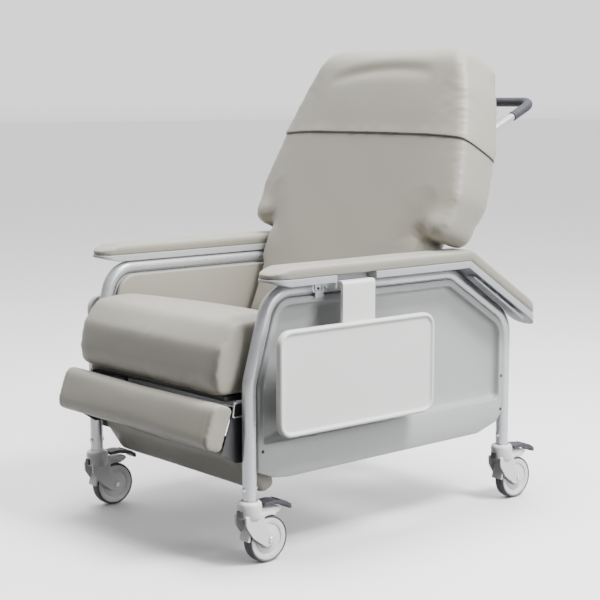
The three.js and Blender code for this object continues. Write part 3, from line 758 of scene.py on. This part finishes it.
def cast(outline, hub=PANEL_HUB, rays=RAYS):
    """The outline sampled at equal angles from a hub, so that rings match point for point."""
    points = np.array([tuple(p) for p in outline]) - np.array(hub)
    ends = np.roll(points, -1, axis=0)
    ring = []
    for k in range(rays):
        angle = 2 * math.pi * k / rays
        direction = np.array((math.cos(angle), math.sin(angle)))
        step = ends - points
        denominator = direction[0] * step[:, 1] - direction[1] * step[:, 0]
        denominator = np.where(np.abs(denominator) < 1e-12, 1e-12, denominator)
        t = (points[:, 0] * step[:, 1] - points[:, 1] * step[:, 0]) / denominator
        u = (points[:, 0] * direction[1] - points[:, 1] * direction[0]) / denominator
        hits = t[(u >= -1e-9) & (u <= 1 + 1e-9) & (t > 0)]
        reach = hits.max() if len(hits) else 0.0
        ring.append((hub[0] + direction[0] * reach, hub[1] + direction[1] * reach))
    return ring


def shrink(ring, factor, hub=PANEL_HUB):
    return [(hub[0] + (y - hub[0]) * factor, hub[1] + (z - hub[1]) * factor) for y, z in ring]


def build_side_panels():
    back_x, front_x = SHELL_X
    outer = [(0.0, back_x), (0.0, front_x - 0.003), (0.0009, front_x - 0.0009), (0.003, front_x)]
    lip = [(0.0, front_x), (0.0012, front_x - 0.0006), (0.0026, front_x - 0.0030), (0.0044, front_x - 0.0085),
           (0.0075, front_x - 0.0140), (0.0130, front_x - 0.0180), (0.0210, front_x - 0.0200)]
    rings = [(cast(panel_outline(inset)), x) for inset, x in outer]
    rings += [(cast(recess_outline(inset)), x) for inset, x in lip]
    floor = rings[-1][0]
    for factor in (0.8, 0.6, 0.4, 0.2, 0.05):
        rings.append((shrink(floor, factor), front_x - 0.0200 - 0.0008 * (1 - factor)))
    for side, sign in SIDES.items():
        shell = loft(f"side_shell_{side}", [[at(sign * x, y, z) for y, z in ring] for ring, x in rings],
                     "side_plastic", "frame", sharp=60)
        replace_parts(shell, f"side_panel_{side}")
        for k, (y, z) in enumerate(((0.822, 0.338), (0.822, 0.250), (0.028, 0.262))):
            screw(f"panel_screw_{side}_{k}", sign, y, z, sign * front_x)


def screw(name, sign, y, z, x, radius=0.0042):
    profile = [(0.0005, 0.0), (radius, 0.0), (radius, 0.0008), (radius * 0.7, 0.0020),
               (radius * 0.35, 0.0022), (0.0005, 0.0012)]
    lathe(name, profile, lambda a, b, c: at(x + sign * c, y + a, z + b), "pedal_plastic", "frame", 20)


def build_inner_panels():
    for side, sign in SIDES.items():
        c = loop_inside(0.018)
        low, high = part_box(f"inner_panel_{side}")
        tube_side = max(abs(low[0]), abs(high[0]))
        outline = [(c["front_y"] + 0.004, 0.402, 0.010), (0.598, 0.402, 0.010),
                   (0.598, c["top_front"][1], 0.012),
                   c["top_front"], (c["knee"][0] + 0.004, c["knee"][1], c["knee"][2])]
        hub = (0.30, 0.50)
        edge = cast(fillet(outline), hub, 480)
        face = tube_side - 0.0072
        stations = [(1.0, tube_side), (1.0, tube_side - 0.003), (0.994, face + 0.0018),
                    (0.985, face + 0.0003), (0.96, face), (0.7, face - 0.0003), (0.4, face - 0.0004),
                    (0.1, face - 0.0004)]
        rings = [[at(sign * x, y, z) for y, z in shrink(edge, factor, hub)] for factor, x in stations]
        pad = loft(f"inner_pad_{side}", rings, "vinyl", "frame", sharp=60)
        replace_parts(pad, f"inner_panel_{side}")


# ---- armrests -------------------------------------------------------------------------
def build_armrests():
    build_arm_pads()
    for side, sign in SIDES.items():
        refine(f"armrest_base_{side}", "arm_plastic", "frame", bevel=0.0018)
        slope = []
        for y, drop in ((0.668, 0.006), (0.855, 0.006), (0.855, 0.016), (0.668, 0.012)):
            slope.append((y, arm_line(ARM_BASE_Z, y) - drop))
        prism(f"arm_channel_{side}", slope, (sign * 0.350, sign * 0.379), side_place, "arm_plastic", "frame",
              bevel=0.0015)
        hangers = ((0.690, 0.704), (0.752, 0.766), (0.820, 0.834))
        for k, (y0, y1) in enumerate(hangers):
            block = [(y0, arm_line(ARM_BASE_Z, y0) - 0.007), (y1, arm_line(ARM_BASE_Z, y1) - 0.007),
                     (y1, arm_line(ARM_BASE_Z, y1) - 0.0003), (y0, arm_line(ARM_BASE_Z, y0) - 0.0003)]
            prism(f"arm_spacer_{side}_{k}", block, (sign * 0.354, sign * 0.374), side_place, "arm_plastic",
                  "frame", bevel=0.0008)


# ---- trays ----------------------------------------------------------------------------
def build_trays():
    low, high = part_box("tray_left")
    y0, y1 = low[1] - Y_FRONT, high[1] - Y_FRONT
    z0, z1 = low[2], 0.544
    x0, x1 = 0.381, high[0]
    corner = 0.034
    hub = ((y0 + y1) / 2, (z0 + z1) / 2)

    def outline(inset):
        r = max(corner - inset, 0.006)
        return cast(fillet([(y0 + inset, z0 + inset, r), (y1 - inset, z0 + inset, r),
                            (y1 - inset, z1 - inset, r), (y0 + inset, z1 - inset, r)]), hub, 480)

    stations = [
        (0.012, x0 + 0.004), (0.008, x0 + 0.004), (0.0065, x0 + 0.0005), (0.0045, x0), (0.0018, x0 + 0.001),
        (0.0004, x0 + 0.004), (0.0, x0 + 0.008), (0.0004, x1 - 0.005), (0.0020, x1 - 0.0018), (0.0045, x1),
        (0.0075, x1), (0.0095, x1 - 0.0012), (0.0110, x1 - 0.0036), (0.0130, x1 - 0.0048),
        (0.0160, x1 - 0.005),
    ]
    for side, sign in SIDES.items():
        body = f"tray_{side}"
        rings = [[at(sign * x, y, z) for y, z in outline(inset)] for inset, x in stations]
        face = outline(stations[-1][0])
        for factor in (0.7, 0.4, 0.1):
            rings.append([at(sign * (x1 - 0.005), y, z) for y, z in shrink(face, factor, hub)])
        tray = loft(f"tray_top_{side}", rings, "tray_plastic", body, sharp=60)
        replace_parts(tray, f"tray_{side}")
        # the arm is one strip that curls round the hinge pin
        arm = fillet([
            (0.384, 0.470), (0.3925, 0.470), (0.3925, 0.640, 0.010), (0.361, 0.640, 0.010),
            (0.361, 0.621, 0.009), (0.379, 0.621, 0.008), (0.379, 0.626), (0.384, 0.6235, 0.003),
        ])
        prism(f"tray_arm_{side}", arm, (0.218, 0.318), lambda u, v, w: at(sign * u, w, v), "tray_plastic",
              body, bevel=0.0010)
        rib = fillet([(0.226, 0.330, 0.008), (0.310, 0.330, 0.008), (0.310, 0.520, 0.008),
                      (0.226, 0.520, 0.008)])
        prism(f"tray_rib_{side}", rib, (sign * 0.3835, sign * 0.3865), side_place, "tray_plastic", body)


def build_tray_brackets():
    for side, sign in SIDES.items():
        refine(f"tray_bracket_{side}", "plated_steel", "frame", bevel=0.0006)
        for k, y in enumerate((0.184, 0.200)):
            screw(f"bracket_screw_{side}_{k}", sign, y, 0.6225, sign * 0.345, 0.0034)
        latch = bent([(0.166, 0.634), (0.166, 0.616, 0.005), (0.196, 0.616, 0.005), (0.196, 0.628)],
                     lambda y, z: at(sign * 0.3475, y, z), 6)
        sweep(f"tray_latch_{side}", latch, 0.0016, "plated_steel", "frame", sides=12)


# ---- push handle ----------------------------------------------------------------------
def build_push_handle():
    rise = (HANDLE_BAR[0] - HANDLE_START[0], HANDLE_BAR[1] - HANDLE_START[1])
    length = math.hypot(*rise)

    def place(x, along):
        share = along / length
        return on_back(x, HANDLE_START[0] + rise[0] * share, HANDLE_START[1] + rise[1] * share)

    root = 0.030
    corners = [(-HANDLE_HALF, root), (-HANDLE_HALF, length, HANDLE_BEND), (HANDLE_HALF, length, HANDLE_BEND),
               (HANDLE_HALF, root)]
    tube = sweep("push_tube", bent(corners, place), 0.0095, "frame_paint", "back", sides=28)
    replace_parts(tube, "push_handle")
    cover = length - 0.090
    corners = [(-HANDLE_HALF, cover), (-HANDLE_HALF, length, HANDLE_BEND), (HANDLE_HALF, length, HANDLE_BEND),
               (HANDLE_HALF, cover)]
    grip = sweep("push_grip", bent(corners, place, 14), 0.0125, "grip_rubber", "back", sides=28, bevel=0.002,
                 sharp=50)
    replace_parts(grip, "handle_grip")
    for side, sign in SIDES.items():
        ring = [(0.0094, 0.0), (0.0125, 0.0), (0.0145, 0.002), (0.0145, 0.005), (0.0122, 0.007),
                (0.0094, 0.007)]
        axis = (place(0, 1) - place(0, 0)).normalized()
        across = Vector((1, 0, 0))
        up = axis.cross(across)
        foot = place(sign * HANDLE_HALF, 0.062)
        lathe(f"handle_collar_{side}", ring, lambda a, b, c: foot + across * a + up * b + axis * c,
              "frame_paint", "back", 36)


# ---- mechanism ------------------------------------------------------------------------
def build_back_irons():
    """The pivot cheeks and gas spring lugs that stand out of the upholstered back."""
    def place(d, h, x):
        return on_back(x, d, h)

    boss_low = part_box("recline_bracket_left")[0]
    pivot_y, pivot_z = boss_low[1] + 0.022 - Y_FRONT, boss_low[2] + 0.030
    dy, dz = pivot_y - BACK_REF[0], pivot_z - BACK_REF[1]
    c, s = math.cos(BACK_LEAN), math.sin(BACK_LEAN)
    d, h = dy * c - dz * s, dy * s + dz * c
    cheek = fillet([(0.099, h - 0.040), (0.112, h - 0.040), (d + 0.017, h - 0.010, 0.014),
                    (d + 0.017, h + 0.015, 0.014), (0.112, h + 0.048), (0.099, h + 0.048)])
    for side, sign in SIDES.items():
        first = prism(f"back_cheek_{side}", cheek, (sign * 0.2885, sign * 0.2940), place, "black_steel",
                      "back")
        if side == "left":
            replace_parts(first, "back_panel")
        web = [(0.099, h - 0.040), (0.108, h - 0.040), (0.111, h + 0.048), (0.099, h + 0.048)]
        prism(f"back_web_{side}", web, (sign * 0.270, sign * 0.2890), place, "black_steel", "back")
    rod_low, rod_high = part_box("gas_spring_rod")
    lug_end = Vector((0, rod_low[1] + 0.011 - Y_FRONT, rod_high[2] - 0.011))
    dy, dz = lug_end.y - BACK_REF[0], lug_end.z - BACK_REF[1]
    d, h = dy * c - dz * s, dy * s + dz * c
    lug = fillet([(0.090, -0.170), (0.104, -0.170), (d + 0.012, h + 0.006, 0.006),
                  (d + 0.012, h - 0.012, 0.008), (d - 0.012, h - 0.012, 0.008)])
    for side, sign in SIDES.items():
        prism(f"gas_lug_{side}", lug, (sign * 0.013, sign * 0.019), place, "black_steel", "back")


def build_mechanism():
    for node in ("seat_front_cross_tube", "seat_rear_cross_tube"):
        middle = centre(node)
        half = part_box(node)[1][0]
        path = [(x, middle.y, middle.z) for x in (-half, half)]
        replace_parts(sweep(node + "_round", path, 0.012, "black_steel", "frame", sides=32), node)
    refine("rear_cross_tube", "frame_paint", "frame")
    refine("seat_pan", "black_steel", "frame", bevel=0.002)
    build_back_irons()
    refine("gas_spring_cylinder", "black_steel", "gas_cylinder")
    refine("gas_spring_rod", "plated_steel", "gas_rod", bevel=0.0004)
    refine("legrest_carriage", "black_steel", "legrest_carriage")
    refine("legrest_frame", "black_steel", "legrest")
    refine("foot_pad_frame", "black_steel", "footrest")
    for side, sign in SIDES.items():
        refine(f"recline_bracket_{side}", "black_steel", "frame")
        refine(f"legrest_fixed_rail_{side}", "black_steel", "frame")
        plate = fillet([(-0.060, 0.262, 0.008), (-0.020, 0.236, 0.010), (0.110, 0.228, 0.014),
                        (0.185, 0.300, 0.020), (0.260, 0.318, 0.012), (0.260, 0.366, 0.008),
                        (0.022, 0.378, 0.014), (-0.022, 0.372, 0.008)])
        prism(f"mechanism_plate_{side}", plate, (sign * 0.2925, sign * 0.2960), side_place, "black_steel",
              "frame")
        for k, y in enumerate((0.045, 0.110, 0.215)):
            screw(f"mechanism_bolt_{side}_{k}", sign, y, 0.342, sign * 0.2960, 0.0062)
        loop = fillet([(-0.030, 0.343, 0.005), (0.004, 0.343, 0.005), (0.004, 0.375, 0.005),
                       (-0.024, 0.375, 0.005)])
        sweep(f"release_loop_{side}", [at(sign * 0.2985, p.x, p.y) for p in loop], 0.0020, "plated_steel",
              "frame", sides=12, wrap=True)


# ---- casters --------------------------------------------------------------------------
def build_caster(place):
    middle = centre(f"caster_stem_{place}")
    x0, y0 = middle.x, middle.y - Y_FRONT
    swivel, wheel, pedal = f"swivel_{place}", f"wheel_{place}", f"pedal_{place}"

    def upright(a, b, along):
        return at(x0 + a, y0 + b, along)

    def across(a, b, along):
        return at(x0 + along, y0 + TRAIL + a, WHEEL_R + b)

    def sideways(u, v, w):
        return at(x0 + w, y0 + u, v)

    eps = 0.0006
    stem = lathe(f"stem_round_{place}", [
        (eps, 0.125), (0.0066, 0.125), (0.0066, HOUSING_TOP + GAP), (0.0185, HOUSING_TOP + GAP),
        (0.0190, HOUSING_TOP + 0.0009), (0.0190, LEG_BOTTOM - 0.0008), (0.0185, LEG_BOTTOM - GAP),
        (0.0125, LEG_BOTTOM - GAP), (0.0125, 0.205), (eps, 0.206)], upright, "plated_steel", "frame", 40)
    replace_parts(stem, f"caster_stem_{place}")
    for end in (-1, 1):
        bolt = [(eps, 0.0), (0.0058, 0.0), (0.0058, 0.0024), (0.0040, 0.0040), (eps, 0.0044)]
        lathe(f"leg_bolt_{place}_{'rear' if end > 0 else 'front'}", bolt,
              lambda a, b, c: at(x0 + a, y0 + end * (TUBE_R - GAP + c), 0.178 + b), "plated_steel", "frame",
              24)

    collar = lathe(f"caster_collar_{place}", [
        (0.0072, 0.1120), (HOUSING_R - 0.003, 0.1120), (HOUSING_R - 0.0008, 0.1130), (HOUSING_R, 0.1155),
        (HOUSING_R, 0.1415), (HOUSING_R - 0.0008, 0.1450), (HOUSING_R - 0.0030, 0.1485),
        (HOUSING_R - 0.0060, HOUSING_TOP), (0.0072, HOUSING_TOP)], upright, "caster_plastic", swivel, 56)
    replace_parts(collar, f"caster_housing_{place}")
    fork = fillet([
        (-0.0275, 0.1200, 0.002), (-0.0265, 0.0960, 0.020), (-0.0060, 0.0660, 0.030), (0.0300, 0.0400, 0.012),
        (0.0560, 0.0400, 0.014), (0.0620, 0.0600, 0.014), (0.0430, 0.0780, 0.020), (0.0270, 0.0980, 0.020),
        (0.0260, 0.1200, 0.002)])
    inside = 0.0155
    for name, end in (("near", 1), ("far", -1)):
        prism(f"caster_fork_{place}_{name}", fork, (end * inside, end * (inside + 0.0068)), sideways,
              "caster_plastic", swivel, bevel=0.0022)
    hood = []
    for k in range(25):
        angle = math.radians(72 + 104 * k / 24)
        hood.append([across(r * math.cos(angle), r * math.sin(angle), w)
                     for r, w in ((0.0575, -0.0165), (0.0575, 0.0165), (0.0625, 0.0165), (0.0635, 0.0),
                                  (0.0625, -0.0165))])
    loft(f"caster_hood_{place}", hood, "caster_plastic", swivel, sharp=50)
    lug = fillet([(0.018, 0.1120), (0.072, 0.1120, 0.004), (0.083, 0.1185, 0.004), (0.078, 0.1260, 0.003),
                  (0.018, 0.1310)])
    prism(f"caster_lug_{place}", lug, (-0.0125, 0.0125), sideways, "caster_plastic", swivel, bevel=0.0018)
    button = fillet([(-0.0320, 0.116, 0.002), (-0.0265, 0.116), (-0.0265, 0.131), (-0.0320, 0.131, 0.002)])
    prism(f"caster_button_{place}", button, (-0.008, 0.008), sideways, "pedal_plastic", swivel)

    axle = lathe(f"axle_round_{place}", [
        (eps, -0.0252), (0.0062, -0.0252), (0.0074, -0.0240), (0.0074, -0.0224), (0.0040, -0.0224),
        (0.0040, 0.0224), (0.0074, 0.0224), (0.0074, 0.0240), (0.0062, 0.0252), (eps, 0.0252)],
        across, "plated_steel", swivel, 40)
    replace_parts(axle, f"caster_axle_{place}")

    rim = WHEEL_R - 0.0058
    face = [(0.0046, 0.0135), (0.0120, 0.0135), (0.0128, 0.0120), (0.0325, 0.0112), (0.0340, 0.0092),
            (0.0358, 0.0092), (0.0372, 0.0120), (0.0440, 0.0134), (rim - 0.0012, 0.0130), (rim, 0.0118)]
    hub = lathe(f"wheel_disc_{place}", face + [(r, -a) for r, a in reversed(face)], across, "caster_plastic",
                wheel, 72)
    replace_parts(hub, f"wheel_hub_{place}")
    w = 0.014
    tread = lathe(f"wheel_tread_{place}", [
        (rim + 0.0003, -w + 0.0016), (WHEEL_R - 0.0034, -w), (WHEEL_R - 0.0012, -w + 0.0022),
        (WHEEL_R, -w + 0.0070), (WHEEL_R, w - 0.0070), (WHEEL_R - 0.0012, w - 0.0022), (WHEEL_R - 0.0034, w),
        (rim + 0.0003, w - 0.0016)], across, "tyre_rubber", wheel, 96)
    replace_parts(tread, f"wheel_tyre_{place}")

    step = fillet([
        (0.029, 0.1435, 0.002), (0.058, 0.1450, 0.030), (0.090, 0.1390, 0.020), (0.1070, 0.1290, 0.004),
        (0.1090, 0.1180, 0.003), (0.1030, 0.1175, 0.003), (0.0950, 0.1270, 0.010), (0.078, 0.1320, 0.020),
        (0.056, 0.1355, 0.010), (0.029, 0.1355, 0.002)])
    foot = prism(f"pedal_step_{place}", step, (-0.020, 0.020), sideways, "pedal_plastic", pedal, bevel=0.0024)
    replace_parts(foot, f"brake_pedal_{place}")
    for k in range(4):
        y = 0.076 + 0.0070 * k
        z = 0.1424 - 0.0032 * k
        path = [sideways(y, z, -0.015), sideways(y, z, 0.015)]
        sweep(f"pedal_rib_{place}_{k}", path, 0.0013, "pedal_plastic", pedal, sides=10)


# ---- light, floor and camera ----------------------------------------------------------
BRIGHT_SIDE = (-0.62, 0.78, 0.0)    # towards the studio's pale wall: the opposite wall is dim
WALLS = (0.22, 1.5)                 # strength of the dim and of the pale wall
BELOW = 0.10                        # share of it that comes up from under the floor's level
CEILING = 1.6                       # how much brighter the studio is overhead


def build_floor():
    size = 60.0
    mesh = bpy.data.meshes.new("floor")
    corners = [(-size, -size, 0), (size, -size, 0), (size, size, 0), (-size, size, 0)]
    mesh.from_pydata(corners, [], [(0, 1, 2, 3)])
    floor = bpy.data.objects.new("floor", mesh)
    bpy.context.scene.collection.objects.link(floor)
    s = Shader("floor", (0.94, 0.94, 0.94), 0.60)
    s.tint(s.ramp(s.noise(3.0, 3.0), 0.3, 0.7, 0.0, 0.3), (0.92, 0.92, 0.92))
    mesh.materials.append(s.material)
    floor.visible_diffuse = False   # the pale floor would light the undersides too strongly


def build_world():
    world = bpy.data.worlds.new("studio")
    bpy.context.scene.world = world
    world.use_nodes = True
    tree = world.node_tree
    background = tree.nodes["Background"]
    background.inputs["Color"].default_value = (1.0, 1.0, 1.0, 1)
    direction = tree.nodes.new("ShaderNodeTexCoord").outputs["Generated"]

    def ramp(axis, low, high, out_low, out_high):
        along = tree.nodes.new("ShaderNodeVectorMath")
        along.operation = "DOT_PRODUCT"
        along.inputs[1].default_value = axis
        tree.links.new(direction, along.inputs[0])
        fade = tree.nodes.new("ShaderNodeMapRange")
        for key, number in (("From Min", low), ("From Max", high), ("To Min", out_low), ("To Max", out_high)):
            fade.inputs[key].default_value = number
        tree.links.new(along.outputs["Value"], fade.inputs["Value"])
        return fade.outputs["Result"]

    strength = ramp(BRIGHT_SIDE, -0.5, 0.7, *WALLS)
    for factor in (ramp((0, 0, 1), -0.10, 0.0, BELOW, 1.0), ramp((0, 0, 1), 0.20, 0.70, 1.0, CEILING)):
        times = tree.nodes.new("ShaderNodeMath")
        times.operation = "MULTIPLY"
        tree.links.new(strength, times.inputs[0])
        tree.links.new(factor, times.inputs[1])
        strength = times.outputs["Value"]
    tree.links.new(strength, background.inputs["Strength"])


def area_light(name, place, target, size, power):
    light = bpy.data.lights.new(name, "AREA")
    light.shape = "RECTANGLE"
    light.size, light.size_y = size
    light.energy = power
    obj = bpy.data.objects.new(name, light)
    bpy.context.scene.collection.objects.link(obj)
    obj.location = place
    obj.rotation_euler = (Vector(target) - Vector(place)).to_track_quat("-Z", "Y").to_euler()


def build_lights():
    middle = (0, 0, 0.55)
    area_light("key", (2.6, 0.9, 4.2), middle, (1.3, 1.3), 360)
    area_light("top", (-0.2, -0.2, 4.8), middle, (1.8, 1.8), 260)
    area_light("side", (3.8, 0.8, 1.6), middle, (1.6, 1.8), 110)


CAMERA_PLACE = (2.8333, -1.9693, 1.0470)
CAMERA_LENS = 87.1                  # millimetres, on a sensor 36 mm wide
CAMERA_DIP = 8.5                    # degrees below level
CAMERA_ROLL = 0.1
CAMERA_TURN = 49.6                  # degrees round from looking along +Y


def build_camera():
    data = bpy.data.cameras.new("camera")
    data.sensor_width = 36
    data.lens = CAMERA_LENS
    data.shift_x = -0.010
    data.shift_y = 0.029
    camera = bpy.data.objects.new("camera", data)
    bpy.context.scene.collection.objects.link(camera)
    camera.location = at(*CAMERA_PLACE)
    camera.rotation_euler = [math.radians(angle) for angle in (90 - CAMERA_DIP, CAMERA_ROLL, CAMERA_TURN)]
    bpy.context.scene.camera = camera


build_floor()
build_world()
build_lights()
build_camera()
build_back()
build_seat()
build_leg_cushions()
build_side_frames()
build_side_panels()
build_inner_panels()
build_armrests()
build_trays()
build_tray_brackets()
build_push_handle()
build_mechanism()
for corner in CORNERS:
    build_caster(corner)
